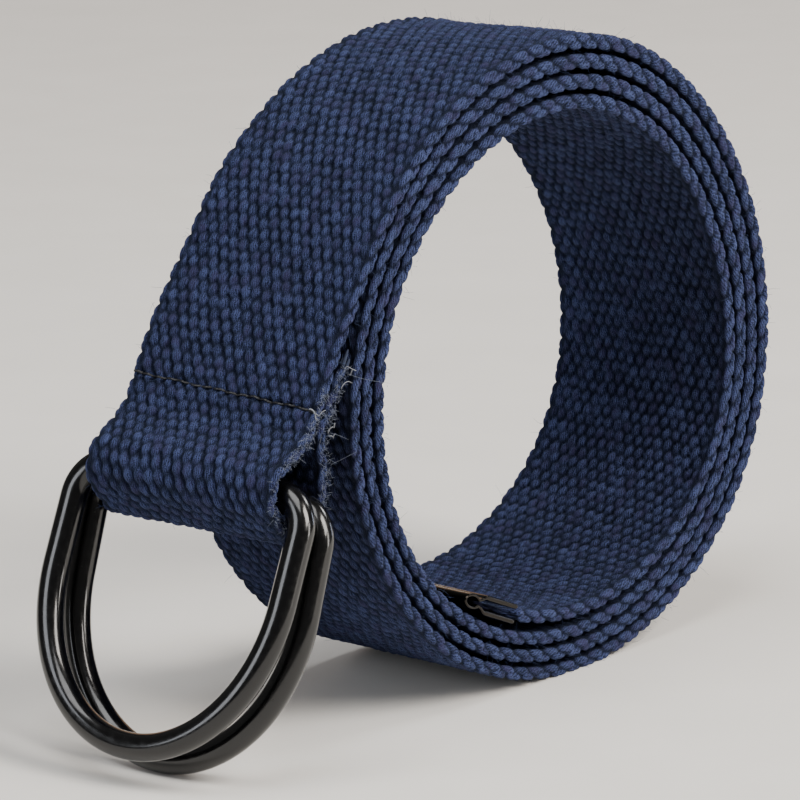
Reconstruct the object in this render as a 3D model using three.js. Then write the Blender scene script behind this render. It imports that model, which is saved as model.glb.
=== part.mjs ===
/*
 * Double ring belt: one long webbing strap wound into a loose upright roll.
 * The outer end leaves the roll, hangs down and is folded back and stitched into a loop.
 * Two D-shaped rings hang in that loop, one resting against the other.
 * The inner end carries a folded metal tip.
 *
 * Millimetres, +Z up, floor at Z = 0. The roll's axis runs along Y and crosses X = 0.
 * The rings hang on the -X side.
 */
import * as THREE from 'three';

// Webbing
const strapWidth = 38;
const strapThickness = 2.5;
const edgeChamfer = 0.45;

// Roll: a spiral seen from the side, its winding angle counted clockwise from the left
const innerRadius = 46.22;
const layerGap = 0.76;
const rollPitch = strapThickness + layerGap;
// the layers lie closer on one side of the roll than on the other
const gapSway = 0.3;
const gapSwayAngle = 30;
const leaveAngle = 30;
const innerRadiusAngle = 1355;
const tipAngle = 1369;
const stationAngle = 7.5;
// the innermost part springs inward a little just before the tip
const springStartAngle = 1275;
const springDepth = 0.9;
// the lowest layer is pressed flat by this much where the roll stands
const footPress = 0.45;
const footHalfAngle = 10;

// Out-of-round shape of the roll, the same for every layer, as shares of its largest swell
const outOfRound = 2.76;
const rollWaves = [
  { wavesPerTurn: 2, share: 1, crestAngle: 159.3 },
  { wavesPerTurn: 3, share: 0.18, crestAngle: 85.4 },
  { wavesPerTurn: 4, share: 0.1, crestAngle: 69.1 },
];

// Hanging end: straight tail, stitched seam, fold-back behind the tail
const tailLength = 30.5;
const seamBend = 12;
const foldBackBend = 8;
const foldBackGap = 0.35;
const foldBackLength = 10.5;
const hangYaw = 4;

// Rings: round wire bent to a D, straight bar on top, bow hanging down
const wireDiameter = 4.6;
const ringSideGap = 1.4;
const ringHalfWidth = strapWidth / 2 + ringSideGap + wireDiameter / 2;
const ringCornerRadius = 6.5;
const ringLegLength = 17.7;
const ringBowDepth = 27.2;
const ringReach = ringLegLength + ringBowDepth;
const wireSides = 14;
const ringSegments = 96;

// Back bar below the seam, front bar in front of it, the front ring swung out a little further
const seamToBackBarX = -2.8;
const seamToBackBarZ = -13.5;
const ringGap = 0.5;
const ringSlip = 0.9;
const ringSpread = 5.4;

// Room between the wire and the webbing round the front bar and in the loop's belly
const barClearance = 1.15;
const bellyClearance = 1.65;
const bellyShiftX = -0.8;
const bellyShiftZ = -0.6;

// Metal tip: a folded clip pressed onto the inner end, with an open bead at its fold
const pressedThickness = 1;
const pressedRun = 1.4;
const webbingInTip = 8.3;
const tipFit = 0.28;
const tipPlate = 0.97;
const tipPinchHalf = 1.15;
const pinchLength = 1.6;
const slotRoom = 0.5;
const beadLength = 5;
const beadHeight = 3;
const beadWall = 0.7;
const tipLayerGap = 0.35;
const tipHalfHeight = pressedThickness / 2 + tipFit + tipPlate;
const tipSlotDepth = webbingInTip + slotRoom;
const tipLength = tipSlotDepth + pinchLength + beadLength;

const radians = THREE.MathUtils.degToRad;

/** Radius of the mid-line at a winding angle: pitch per turn plus the out-of-round waves. */
function rollRadius(winding) {
  const angle = 180 - winding;
  const turnsOut = (innerRadiusAngle - winding) / 360;
  const sway = gapSway * Math.cos(radians(angle - gapSwayAngle));
  let radius = innerRadius + turnsOut * (rollPitch + sway);
  for (const wave of rollWaves) {
    const swell = outOfRound * wave.share;
    radius += swell * Math.cos(radians(wave.wavesPerTurn * (angle - wave.crestAngle)));
  }
  const spring = Math.max(0, (winding - springStartAngle) / (tipAngle - springStartAngle));
  return radius - springDepth * spring * spring;
}

/** Winding angle at which the outermost layer reaches lowest. */
function findFootWinding() {
  let best = 270;
  for (let winding = 230; winding < 310; winding += 0.5) {
    const depth = -rollRadius(winding) * Math.sin(radians(180 - winding));
    if (depth > -rollRadius(best) * Math.sin(radians(180 - best))) best = winding;
  }
  return best;
}

const footWinding = findFootWinding();
const footDepth = -rollRadius(footWinding) * Math.sin(radians(180 - footWinding));
const rollCentreZ = footDepth + strapThickness / 2 - footPress;
const rollCentreX = -rollRadius(footWinding) * Math.cos(radians(180 - footWinding));

/** Point of the roll's mid-line, seen from the side as (x, z). */
function rollPoint(winding) {
  const angle = radians(180 - winding);
  const radius = rollRadius(winding);
  const x = rollCentreX + radius * Math.cos(angle);
  return new THREE.Vector2(x, rollCentreZ + radius * Math.sin(angle));
}

/** Unit direction of the mid-line at a winding angle, toward growing winding. */
function rollDirection(winding) {
  return rollPoint(winding + 0.05).sub(rollPoint(winding - 0.05)).normalize();
}

function leftOf(direction) {
  return new THREE.Vector2(-direction.y, direction.x);
}

function along(start, direction, length) {
  return start.clone().addScaledVector(direction, length);
}

const origin = new THREE.Vector2();
const leavePoint = rollPoint(leaveAngle);
const tailDirection = rollDirection(leaveAngle).negate();
const seamPoint = along(leavePoint, tailDirection, tailLength);

/** Bars and swings: the back ring's bow stands on the floor, the front ring leans on the back one. */
function placeRings() {
  const back = seamPoint.clone().add(new THREE.Vector2(seamToBackBarX, seamToBackBarZ));
  const lean = Math.acos(Math.min(1, (back.y - wireDiameter / 2) / ringReach));
  const backSwing = THREE.MathUtils.radToDeg(lean);
  const middle = radians(backSwing + ringSpread / 2);
  const outward = new THREE.Vector2(-Math.cos(middle), Math.sin(middle));
  const upward = new THREE.Vector2(Math.sin(middle), Math.cos(middle));
  const front = along(along(back, outward, wireDiameter + ringGap), upward, ringSlip);
  return {
    ring_front: { bar: front, swing: backSwing + ringSpread },
    ring_back: { bar: back, swing: backSwing },
  };
}

const rings = placeRings();

/** Direction of the straight run between two circles, radius positive where the turn is left. */
function runDirection(from, to) {
  const gap = to.centre.clone().sub(from.centre);
  const angle = gap.angle() - Math.asin((to.radius - from.radius) / gap.length());
  return new THREE.Vector2(Math.cos(angle), Math.sin(angle));
}

/** Points on a circle from one travel direction to the next, turning the circle's own way. */
function turnPoints(circle, enter, leave, step) {
  let sweep = leave.angle() - enter.angle();
  while (circle.radius > 0 && sweep < 0) sweep += 2 * Math.PI;
  while (circle.radius < 0 && sweep > 0) sweep -= 2 * Math.PI;
  const count = Math.max(2, Math.ceil(Math.abs(sweep) / radians(step)));
  const points = [];
  for (let i = 0; i <= count; i += 1) {
    const angle = enter.angle() + sweep * i / count;
    const out = new THREE.Vector2(Math.sin(angle), -Math.cos(angle));
    points.push(along(circle.centre, out, circle.radius));
  }
  return points;
}

/** Bend radius at the seam: the named one, or less where the front bar leaves less room. */
function fittedSeamBend(behind, barRadius) {
  let bend = seamBend;
  const room = (radius) => along(seamPoint, behind, -radius).distanceTo(rings.ring_front.bar);
  while (bend > 1 && room(bend) < bend + barRadius + strapThickness / 5) bend *= 0.95;
  return bend;
}

/** Mid-line of the hanging end, from where it leaves the roll to the folded-back raw end. */
function hangingPath() {
  const behind = leftOf(tailDirection);
  const up = tailDirection.clone().negate();
  const foldBack = along(seamPoint, behind, strapThickness + foldBackGap);
  const wire = wireDiameter / 2 + strapThickness / 2;
  const belly = rings.ring_back.bar.clone().add(new THREE.Vector2(bellyShiftX, bellyShiftZ));
  const bend = fittedSeamBend(behind, wire + barClearance);
  const circles = [
    { centre: along(seamPoint, behind, -bend), radius: -bend },
    { centre: rings.ring_front.bar, radius: wire + barClearance },
    { centre: belly, radius: wire + bellyClearance },
    { centre: along(foldBack, behind, foldBackBend), radius: -foldBackBend },
  ];
  const points = [];
  for (let i = 1; i < 6; i += 1) points.push(along(leavePoint, tailDirection, tailLength * i / 6));
  let travel = tailDirection;
  circles.forEach((circle, i) => {
    const next = i + 1 < circles.length ? runDirection(circle, circles[i + 1]) : up;
    points.push(...turnPoints(circle, travel, next, 12));
    travel = next;
  });
  const last = points[points.length - 1];
  for (let i = 1; i <= 3; i += 1) points.push(along(last, up, foldBackLength * i / 3));
  return points;
}

/** Winding angles of the roll's stations, closer together where the outermost layer stands. */
function rollWindings() {
  const windings = [];
  for (let winding = leaveAngle; winding < tipAngle - 2; winding += stationAngle) {
    if (Math.abs(winding - footWinding) > footHalfAngle + 1) windings.push(winding);
  }
  for (let turn = -footHalfAngle; turn <= footHalfAngle; turn += footHalfAngle / 4) {
    windings.push(footWinding + turn);
  }
  return windings.sort((a, b) => a - b);
}

/** Direction of the tip: turned inward just enough for its underside to clear the layer below. */
function findTipDirection() {
  const mouth = rollPoint(tipAngle);
  const centre = new THREE.Vector2(rollCentreX, rollCentreZ);
  const checks = [
    { run: 0, below: tipHalfHeight },
    { run: tipSlotDepth, below: tipHalfHeight },
    { run: tipLength - beadLength / 2, below: beadHeight / 2 },
    { run: tipLength - beadLength / 6, below: beadHeight / 2 * 0.75 },
  ];
  for (let turn = 0; turn < 20; turn += 0.2) {
    const direction = rollDirection(tipAngle).rotateAround(origin, radians(-turn));
    const down = leftOf(direction);
    const clear = checks.every(({ run, below }) => {
      const point = along(along(mouth, direction, run), down, below);
      const offset = point.clone().sub(centre);
      const winding = 180 - THREE.MathUtils.radToDeg(offset.angle()) + 1080;
      return offset.length() + tipLayerGap < rollRadius(winding) - strapThickness / 2;
    });
    if (clear) return direction;
  }
  return rollDirection(tipAngle);
}

const tipMouth = rollPoint(tipAngle);
const tipDirection = findTipDirection();

/** All stations along the strap, raw end first: place, half thickness and yaw. */
function strapStations() {
  const stations = [];
  const full = strapThickness / 2;
  for (const point of hangingPath().reverse()) {
    const drop = THREE.MathUtils.smoothstep(leavePoint.y - point.y, 0, leavePoint.y - seamPoint.y);
    stations.push({ point, half: full, yaw: radians(hangYaw) * drop });
  }
  for (const winding of rollWindings()) {
    stations.push({ point: rollPoint(winding), half: full, yaw: 0 });
  }
  const pressed = pressedThickness / 2;
  stations.push({ point: along(tipMouth, tipDirection, -pressedRun), half: full, yaw: 0 });
  stations.push({ point: along(tipMouth, tipDirection, -pressedRun / 4), half: pressed, yaw: 0 });
  stations.push({ point: along(tipMouth, tipDirection, webbingInTip), half: pressed, yaw: 0 });
  return stations;
}

// Corners of the webbing's chamfered section: side, face, and whether the corner is on the face
const sectionCorners = [
  { side: 1, face: -1, onFace: 0 },
  { side: 1, face: 1, onFace: 0 },
  { side: 1, face: 1, onFace: 1 },
  { side: -1, face: 1, onFace: 1 },
  { side: -1, face: 1, onFace: 0 },
  { side: -1, face: -1, onFace: 0 },
  { side: -1, face: -1, onFace: 1 },
  { side: 1, face: -1, onFace: 1 },
];

/** Solid strap: the section carried along the stations, flattened where it stands. */
function strapGeometry() {
  const stations = strapStations();
  const pivotX = rings.ring_back.bar.x;
  const positions = [];
  stations.forEach((station, i) => {
    const before = stations[Math.max(0, i - 1)].point;
    const after = stations[Math.min(stations.length - 1, i + 1)].point;
    const normal = leftOf(after.clone().sub(before).normalize());
    const chamfer = Math.min(edgeChamfer, station.half * 0.6);
    for (const { side, face, onFace } of sectionCorners) {
      const across = side * (strapWidth / 2 - onFace * chamfer);
      const offset = face * (station.half - (1 - onFace) * chamfer);
      const x = station.point.x + normal.x * offset - pivotX;
      const z = station.point.y + normal.y * offset;
      positions.push(
        pivotX + x * Math.cos(station.yaw) - across * Math.sin(station.yaw),
        x * Math.sin(station.yaw) + across * Math.cos(station.yaw),
        Math.max(0, z),
      );
    }
  });
  const around = sectionCorners.length;
  const index = [];
  for (let i = 0; i + 1 < stations.length; i += 1) {
    for (let k = 0; k < around; k += 1) {
      const a = i * around + k;
      const b = i * around + (k + 1) % around;
      index.push(a, b, a + around, b, b + around, a + around);
    }
  }
  const lastRing = (stations.length - 1) * around;
  for (let k = 1; k + 1 < around; k += 1) {
    index.push(0, k + 1, k);
    index.push(lastRing, lastRing + k, lastRing + k + 1);
  }
  const geometry = new THREE.BufferGeometry();
  geometry.setAttribute('position', new THREE.Float32BufferAttribute(positions, 3));
  geometry.setIndex(index);
  geometry.computeVertexNormals();
  return geometry;
}

/** Centre line of a ring in its own plane: bar along Y through the origin, bow down -Z. */
class RingCurve extends THREE.Curve {
  constructor() {
    super();
    const corner = ringHalfWidth - ringCornerRadius;
    this.outline = new THREE.Path();
    this.outline.moveTo(-corner, 0);
    this.outline.lineTo(corner, 0);
    this.outline.absarc(corner, -ringCornerRadius, ringCornerRadius, Math.PI / 2, 0, true);
    this.outline.lineTo(ringHalfWidth, -ringLegLength);
    this.outline.absellipse(0, -ringLegLength, ringHalfWidth, ringBowDepth, 0, Math.PI, true);
    this.outline.lineTo(-ringHalfWidth, -ringCornerRadius);
    this.outline.absarc(-corner, -ringCornerRadius, ringCornerRadius, Math.PI, Math.PI / 2, true);
  }

  getPoint(t, target = new THREE.Vector3()) {
    const flat = this.outline.getPointAt(t % 1);
    return target.set(0, flat.x, flat.y);
  }
}

/** Side outline of the tip: slot open at the mouth, pinched plates, open bead at the fold. */
function tipShape() {
  const pinch = tipLength - beadLength;
  const beadMiddle = tipLength - beadLength / 2;
  const slotHalf = pressedThickness / 2 + tipFit;
  const beadHalf = beadHeight / 2;
  const shape = new THREE.Shape();
  shape.moveTo(0, -tipHalfHeight);
  shape.lineTo(pinch - pinchLength, -tipHalfHeight);
  shape.quadraticCurveTo(pinch - pinchLength / 2, -tipHalfHeight, pinch, -tipPinchHalf);
  shape.quadraticCurveTo(pinch + pinchLength / 2, -beadHalf, beadMiddle, -beadHalf);
  shape.absellipse(beadMiddle, 0, beadLength / 2, beadHalf, -Math.PI / 2, Math.PI / 2, false);
  shape.quadraticCurveTo(pinch + pinchLength / 2, beadHalf, pinch, tipPinchHalf);
  shape.quadraticCurveTo(pinch - pinchLength / 2, tipHalfHeight, pinch - pinchLength, tipHalfHeight);
  shape.lineTo(0, tipHalfHeight);
  shape.lineTo(0, slotHalf);
  shape.lineTo(tipSlotDepth, slotHalf);
  shape.lineTo(tipSlotDepth, -slotHalf);
  shape.lineTo(0, -slotHalf);
  shape.closePath();
  const hole = new THREE.Path();
  hole.absellipse(beadMiddle, 0, beadLength / 2 - beadWall, beadHalf - beadWall, 0, Math.PI * 2, true);
  shape.holes.push(hole);
  return shape;
}

function tipGeometry() {
  const geometry = new THREE.ExtrudeGeometry(tipShape(), {
    depth: strapWidth,
    bevelEnabled: false,
    curveSegments: 14,
  });
  geometry.rotateX(Math.PI / 2);
  geometry.translate(0, strapWidth / 2, 0);
  geometry.rotateY(-tipDirection.angle());
  geometry.translate(tipMouth.x, 0, tipMouth.y);
  return geometry;
}

function piece(name, geometry, colour, roughness, metalness) {
  const material = new THREE.MeshStandardMaterial({ color: colour, roughness, metalness });
  const mesh = new THREE.Mesh(geometry, material);
  mesh.name = name;
  return mesh;
}

function doubleRingBelt() {
  const group = new THREE.Group();
  group.name = 'double_ring_belt';
  group.add(piece('webbing_strap', strapGeometry(), 0x2d3850, 0.9, 0));
  for (const [name, place] of Object.entries(rings)) {
    const tube = new THREE.TubeGeometry(new RingCurve(), ringSegments, wireDiameter / 2, wireSides, true);
    const ring = piece(name, tube, 0x101012, 0.25, 0.6);
    ring.rotation.set(0, radians(place.swing), radians(hangYaw), 'ZYX');
    ring.position.set(place.bar.x, 0, place.bar.y);
    group.add(ring);
  }
  group.add(piece('belt_tip', tipGeometry(), 0x3a3836, 0.3, 0.9));
  group.updateMatrixWorld(true);
  return group;
}

export default doubleRingBelt();
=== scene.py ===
"""Double ring belt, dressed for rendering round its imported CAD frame.

A cotton webbing belt is wound into an upright roll. Its outer end hangs in a stitched loop that
holds a pair of black wire rings, and its inner end sits in a folded metal tip. Sizes in the
classes are millimetres, and every mesh is turned to metres as it is made.
"""
from __future__ import annotations

import logging
from dataclasses import dataclass, field
from enum import Enum

import bpy
import numpy as np
from mathutils import Matrix


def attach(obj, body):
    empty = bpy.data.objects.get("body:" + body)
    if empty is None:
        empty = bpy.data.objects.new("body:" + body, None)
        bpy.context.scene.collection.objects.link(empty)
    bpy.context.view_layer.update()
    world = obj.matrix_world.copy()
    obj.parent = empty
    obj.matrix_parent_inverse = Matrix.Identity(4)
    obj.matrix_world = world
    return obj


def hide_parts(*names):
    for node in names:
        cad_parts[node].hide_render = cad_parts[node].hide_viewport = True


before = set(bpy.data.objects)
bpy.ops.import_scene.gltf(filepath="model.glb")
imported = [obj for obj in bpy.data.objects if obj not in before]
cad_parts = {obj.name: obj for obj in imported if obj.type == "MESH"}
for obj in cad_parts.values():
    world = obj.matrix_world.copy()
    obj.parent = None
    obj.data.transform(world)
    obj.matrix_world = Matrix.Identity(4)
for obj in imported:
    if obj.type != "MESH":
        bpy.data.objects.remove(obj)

log = logging.getLogger("double_ring_belt")

MM = 0.001
BELT_WIDTH = 38.0
BELT_THICKNESS = 2.5
HANG_YAW = 4.0
FRONT_BAR = (-81.034, 47.495)
BACK_BAR = (-76.624, 44.780)
TIP_DIRECTION = 157.6


class Face(Enum):
    """The two woven faces of the webbing: the outer one looks away from the roll's middle."""

    OUTER = 1
    INNER = -1


def smooth(low: float, high: float, value: np.ndarray) -> np.ndarray:
    """Ease from 0 at low to 1 at high: three times the square less twice the cube.

    Args:
        low: Value at which the result leaves 0.
        high: Value at which the result reaches 1.
        value: Values to ease.

    Returns:
        Eased shares from 0 to 1.
    """
    share = np.clip((value - low) / (high - low), 0.0, 1.0)
    return share * share * (3.0 - 2.0 * share)


def scatter(first: np.ndarray, second: np.ndarray | int, seed: float) -> np.ndarray:
    """Repeatable scatter from 0 to 1 for pairs of whole numbers: the fraction of a large sine.

    Args:
        first: First whole numbers.
        second: Second whole numbers, or one for all.
        seed: Changes the pattern.

    Returns:
        Values from 0 to 1 of the arrays' common shape.
    """
    return np.mod(np.sin(first * 127.1 + second * 311.7 + seed * 74.7) * 43758.5453, 1.0)


def unit(vectors: np.ndarray) -> np.ndarray:
    """Vectors divided by their own lengths."""
    return vectors / np.linalg.norm(vectors, axis=-1, keepdims=True)


def left_of(tangents: np.ndarray) -> np.ndarray:
    """Unit normals a quarter turn to the left of flat tangents of any length."""
    left = np.stack([-tangents[:, 1], tangents[:, 0]], axis=-1)
    return left / np.hypot(tangents[:, 0], tangents[:, 1])[:, None]


def run_lengths(line: np.ndarray) -> np.ndarray:
    """Length run along a flat line up to each of its points."""
    return np.concatenate([[0.0], np.cumsum(np.hypot(*np.diff(line, axis=0).T))])


def points_at(where: np.ndarray, lengths: np.ndarray, line: np.ndarray) -> np.ndarray:
    """Points of a flat line at given lengths, straight between its own points."""
    return np.stack([np.interp(where, lengths, line[:, k]) for k in (0, 1)], axis=-1)


def make_mesh(
    name: str,
    points: np.ndarray,
    faces: np.ndarray,
    fields: dict[str, np.ndarray] | None = None,
    corner_uv: np.ndarray | None = None,
) -> bpy.types.Object:
    """Put points and faces of one corner count into a new smooth-shaded object at the origin.

    Args:
        name: Name of the object and its mesh.
        points: Vertex places in millimetres, one row each.
        faces: Vertex numbers, one row for each face.
        fields: Float values for each vertex, by attribute name.
        corner_uv: One UV pair for each face corner.

    Returns:
        The new object, linked to the scene.
    """
    mesh = bpy.data.meshes.new(name)
    count, corners = faces.shape
    mesh.vertices.add(len(points))
    mesh.vertices.foreach_set("co", (points * MM).astype(np.float32).ravel())
    mesh.loops.add(count * corners)
    mesh.loops.foreach_set("vertex_index", faces.astype(np.int32).ravel())
    mesh.polygons.add(count)
    mesh.polygons.foreach_set("loop_start", np.arange(0, count * corners, corners, dtype=np.int32))
    mesh.update(calc_edges=True)
    mesh.validate()
    mesh.polygons.foreach_set("use_smooth", np.ones(len(mesh.polygons), dtype=bool))
    for key, values in (fields or {}).items():
        layer = mesh.attributes.new(key, "FLOAT", "POINT")
        layer.data.foreach_set("value", values.astype(np.float32).ravel())
    if corner_uv is not None:
        layer = mesh.uv_layers.new(name="along")
        layer.data.foreach_set("uv", corner_uv.astype(np.float32).ravel())
    item = bpy.data.objects.new(name, mesh)
    bpy.context.scene.collection.objects.link(item)
    return item


def tube_faces(rows: int, columns: int) -> np.ndarray:
    """Quads of a grid whose columns close round into a tube, facing out for rows that advance.

    Args:
        rows: Number of sections.
        columns: Points in each section.

    Returns:
        Four vertex numbers for each quad.
    """
    row = np.arange(rows - 1)[:, None] * columns
    here = np.arange(columns)[None, :]
    after = (here + 1) % columns
    quads = [row + here, row + after, row + columns + after, row + columns + here]
    return np.stack(quads, axis=-1).reshape(-1, 4)


def halves(quads: np.ndarray) -> np.ndarray:
    """Two triangles for each quad, all the first ones before all the second ones."""
    return np.concatenate([quads[:, [0, 1, 2]], quads[:, [0, 2, 3]]])


def closed_skin(points: np.ndarray, backwards: bool) -> tuple[np.ndarray, np.ndarray]:
    """Skin over a grid of sections, with a fan to the middle of each end section.

    Args:
        points: Points, as sections by columns by 3.
        backwards: Whether the columns run the other way round, as seen along the rows.

    Returns:
        Vertex places, the two middles last, and triangles.
    """
    rows, columns = points.shape[:2]
    here = np.arange(columns)
    after = (here + 1) % columns
    last = (rows - 1) * columns
    walls = tube_faces(rows, columns)
    if backwards:
        walls = walls[:, [0, 3, 2, 1]]
        here, after = after, here
    middles = np.full(columns, rows * columns)
    caps = np.concatenate([
        np.stack([after, here, middles], axis=-1),
        np.stack([last + here, last + after, middles + 1], axis=-1),
    ])
    ends = np.stack([points[0].mean(axis=0), points[-1].mean(axis=0)])
    return np.concatenate([points.reshape(-1, 3), ends]), np.concatenate([halves(walls), caps])


def tubes(paths: np.ndarray, radii: np.ndarray, sides: int) -> tuple[np.ndarray, np.ndarray]:
    """Closed round tubes along many paths at once.

    Each path point carries a circle in the plane across the path. The circle's two directions
    come from the cross products of the path's direction with one fixed vector.

    Args:
        paths: Points, as paths by stations by 3.
        radii: Radius for each path and station.
        sides: Corners of each circle.

    Returns:
        Vertex places and triangles.
    """
    count, stations = radii.shape
    ahead = unit(np.gradient(paths, axis=1))
    first = unit(np.cross(ahead, np.array([0.31, 0.22, 0.93])))
    second = np.cross(ahead, first)
    turn = np.linspace(0, 2 * np.pi, sides, endpoint=False)[:, None]
    circle = np.cos(turn) * first[:, :, None] + np.sin(turn) * second[:, :, None]
    points = paths[:, :, None] + radii[:, :, None, None] * circle
    fan = np.arange(1, sides - 1)
    start = np.stack([np.zeros_like(fan), fan + 1, fan], axis=-1)
    stop = start[:, [0, 2, 1]] + (stations - 1) * sides
    one = np.concatenate([halves(tube_faces(stations, sides)), start, stop])
    step = np.arange(count)[:, None, None] * stations * sides
    return points.reshape(-1, 3), (one[None] + step).reshape(-1, 3)


def finish(item: bpy.types.Object, material: bpy.types.Material, body: str) -> None:
    """Give a piece its material and the body it moves with, and report it.

    Args:
        item: The piece.
        material: Its only material.
        body: Name of the body it moves with.
    """
    item.data.materials.clear()
    item.data.materials.append(material)
    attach(item, body)
    log.info("%s: %d faces", item.name, len(item.data.polygons))


# Strap


@dataclass(frozen=True)
class StrapPath:
    """Mid-line of the webbing, raw end first, as the part's source lays it."""

    width: float = BELT_WIDTH
    thickness: float = BELT_THICKNESS
    inner_radius: float = 46.22
    layer_gap: float = 0.76
    gap_sway: float = 0.3
    gap_sway_angle: float = 30.0
    leave_angle: float = 30.0
    inner_radius_angle: float = 1355.0
    tip_angle: float = 1369.0
    spring_start: float = 1275.0
    spring_depth: float = 0.9
    foot_press: float = 0.45
    swell: float = 2.76
    waves: tuple = ((2, 1.0, 159.3), (3, 0.18, 85.4), (4, 0.1, 69.1))
    tail_length: float = 30.5
    seam_bend: float = 12.0
    fold_back_bend: float = 8.0
    fold_back_gap: float = 0.35
    fold_back_length: float = 10.5
    hang_yaw: float = HANG_YAW
    back_bar: tuple = BACK_BAR
    front_bar: tuple = FRONT_BAR
    front_radius: float = 4.7
    belly_shift: tuple = (-0.8, -0.6)
    belly_radius: float = 5.2
    tip_direction: float = TIP_DIRECTION
    pressed_half: float = 0.5
    pressed_run: float = 1.4
    pressed_end: float = 0.3
    webbing_in_tip: float = 8.3
    back_bow: float = 1.1
    back_bow_at: float = 18.0
    back_bow_run: float = 5.5
    foot_search: tuple = (230.0, 310.0, 0.5)
    winding_step: float = 0.1
    arc_points: int = 60
    wound_from: float = -8.0
    wound_by: float = 12.0
    spacing: float = 0.1
    tangent_window: int = 11

    def radius(self, winding: np.ndarray) -> np.ndarray:
        """Mid-line radius of the roll.

        The inner radius, plus a pitch for each turn, plus waves round the turn, less the square
        of the share in which the inner end springs in.

        Args:
            winding: Angles wound from the hanging end, in degrees.

        Returns:
            A radius for each angle.
        """
        angle = np.radians(180.0 - winding)
        turns = (self.inner_radius_angle - winding) / 360.0
        sway = self.gap_sway * np.cos(angle - np.radians(self.gap_sway_angle))
        radius = self.inner_radius + turns * (self.thickness + self.layer_gap + sway)
        for count, share, crest in self.waves:
            radius = radius + self.swell * share * np.cos(count * (angle - np.radians(crest)))
        spring = (winding - self.spring_start) / (self.tip_angle - self.spring_start)
        return radius - self.spring_depth * np.clip(spring, 0.0, None) ** 2

    def centre(self) -> np.ndarray:
        """Roll's centre, with its lowest outer point pressed into the floor at X = 0."""
        winding = np.arange(*self.foot_search)
        angle = np.radians(180.0 - winding)
        depth = -self.radius(winding) * np.sin(angle)
        low = int(np.argmax(depth))
        across = self.radius(winding)[low] * np.cos(angle[low])
        return np.array([-across, depth[low] + self.thickness / 2 - self.foot_press])

    def roll_points(self, winding: np.ndarray) -> np.ndarray:
        """Side-view points of the roll: polar radius and angle about the centre.

        Args:
            winding: Angles wound from the hanging end, in degrees.

        Returns:
            Points, one row for each angle.
        """
        angle = np.radians(180.0 - winding)
        spokes = np.stack([np.cos(angle), np.sin(angle)], axis=-1)
        return self.centre() + self.radius(winding)[:, None] * spokes

    def run_angle(self, start: tuple, end: tuple) -> float:
        """Direction of the straight run between two turning circles.

        Args:
            start: Centre and signed radius of the first circle, positive where it turns left.
            end: Centre and signed radius of the second circle.

        Returns:
            Direction in radians: that of the centres, less the arcsine of the radii's difference.
        """
        gap = end[0] - start[0]
        return float(np.arctan2(gap[1], gap[0]) - np.arcsin((end[1] - start[1]) / np.hypot(*gap)))

    def hanging_points(self) -> np.ndarray:
        """Side-view points from the folded-back raw end, round the loop and up to the roll."""
        half_step = self.winding_step / 2
        ends = self.roll_points(self.leave_angle + np.array([-half_step, half_step]))
        leave = ends.mean(axis=0)
        down = ends[0] - ends[1]
        down = down / np.hypot(*down)
        behind = np.array([-down[1], down[0]])
        seam = leave + down * self.tail_length
        fold = seam + behind * (self.thickness + self.fold_back_gap)
        circles = [
            (seam - behind * self.seam_bend, -self.seam_bend),
            (np.array(self.front_bar), self.front_radius),
            (np.array(self.back_bar) + np.array(self.belly_shift), self.belly_radius),
            (fold + behind * self.fold_back_bend, -self.fold_back_bend),
        ]
        travel = [float(np.arctan2(down[1], down[0]))]
        travel += [self.run_angle(a, b) for a, b in zip(circles, circles[1:])]
        travel += [travel[0] - np.pi]
        parts = [leave + down * np.linspace(0, self.tail_length, self.arc_points)[:-1, None]]
        for (centre, radius), enter, exit_angle in zip(circles, travel, travel[1:]):
            sweep = np.mod((exit_angle - enter) * np.sign(radius), 2 * np.pi) * np.sign(radius)
            angle = enter + sweep * np.linspace(0, 1, self.arc_points)
            parts.append(centre + radius * np.stack([np.sin(angle), -np.cos(angle)], axis=-1))
        last = parts[-1][-1]
        parts.append(last - down * np.linspace(0, self.fold_back_length, 30)[1:, None])
        return np.concatenate(parts)[::-1]

    def sample(self) -> dict[str, np.ndarray]:
        """Whole mid-line at even spacing.

        Returns:
            Arrays by name: along, point, normal, yaw, half thickness, gap to the next layer, and
            as single numbers the whole length and those at the seam and the leave point.
        """
        hanging = self.hanging_points()
        winding = np.arange(self.leave_angle, self.tip_angle, self.winding_step)
        roll = self.roll_points(winding)
        mouth = self.roll_points(np.array([self.tip_angle]))
        turn = np.radians(self.tip_direction)
        run = np.linspace(0, self.webbing_in_tip, 40)[:, None]
        inside = mouth + np.array([np.cos(turn), np.sin(turn)]) * run
        whole = np.concatenate([hanging[:-1], roll, inside])
        steps = np.hypot(*np.diff(whole, axis=0).T)
        whole = whole[np.concatenate([[True], steps > 1e-6])]
        length = run_lengths(whole)
        along = np.arange(0.0, length[-1], self.spacing)
        point = points_at(along, length, whole)
        tangent = np.gradient(point, self.spacing, axis=0)
        kernel = np.hanning(self.tangent_window + 2)[1:-1]
        kernel = kernel / kernel.sum()
        margin = self.tangent_window // 2
        padded = np.pad(tangent, ((margin, margin), (0, 0)), mode="edge")
        tangent = np.stack([np.convolve(padded[:, k], kernel, "valid") for k in (0, 1)], axis=-1)
        normal = left_of(tangent)
        bow = self.back_bow * np.exp(-(((along - self.back_bow_at) / self.back_bow_run) ** 2))
        point = point + normal * bow[:, None]
        leave_at = float(length[len(hanging) - 1])
        mouth_at = float(length[-1] - self.webbing_in_tip)
        top = hanging[-1][1]
        seam_at = leave_at - self.tail_length
        low = np.interp(seam_at, length, whole[:, 1])
        yaw = np.radians(self.hang_yaw) * smooth(0, top - low, top - point[:, 1])
        yaw = np.where(along < leave_at, yaw, 0.0)
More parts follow.
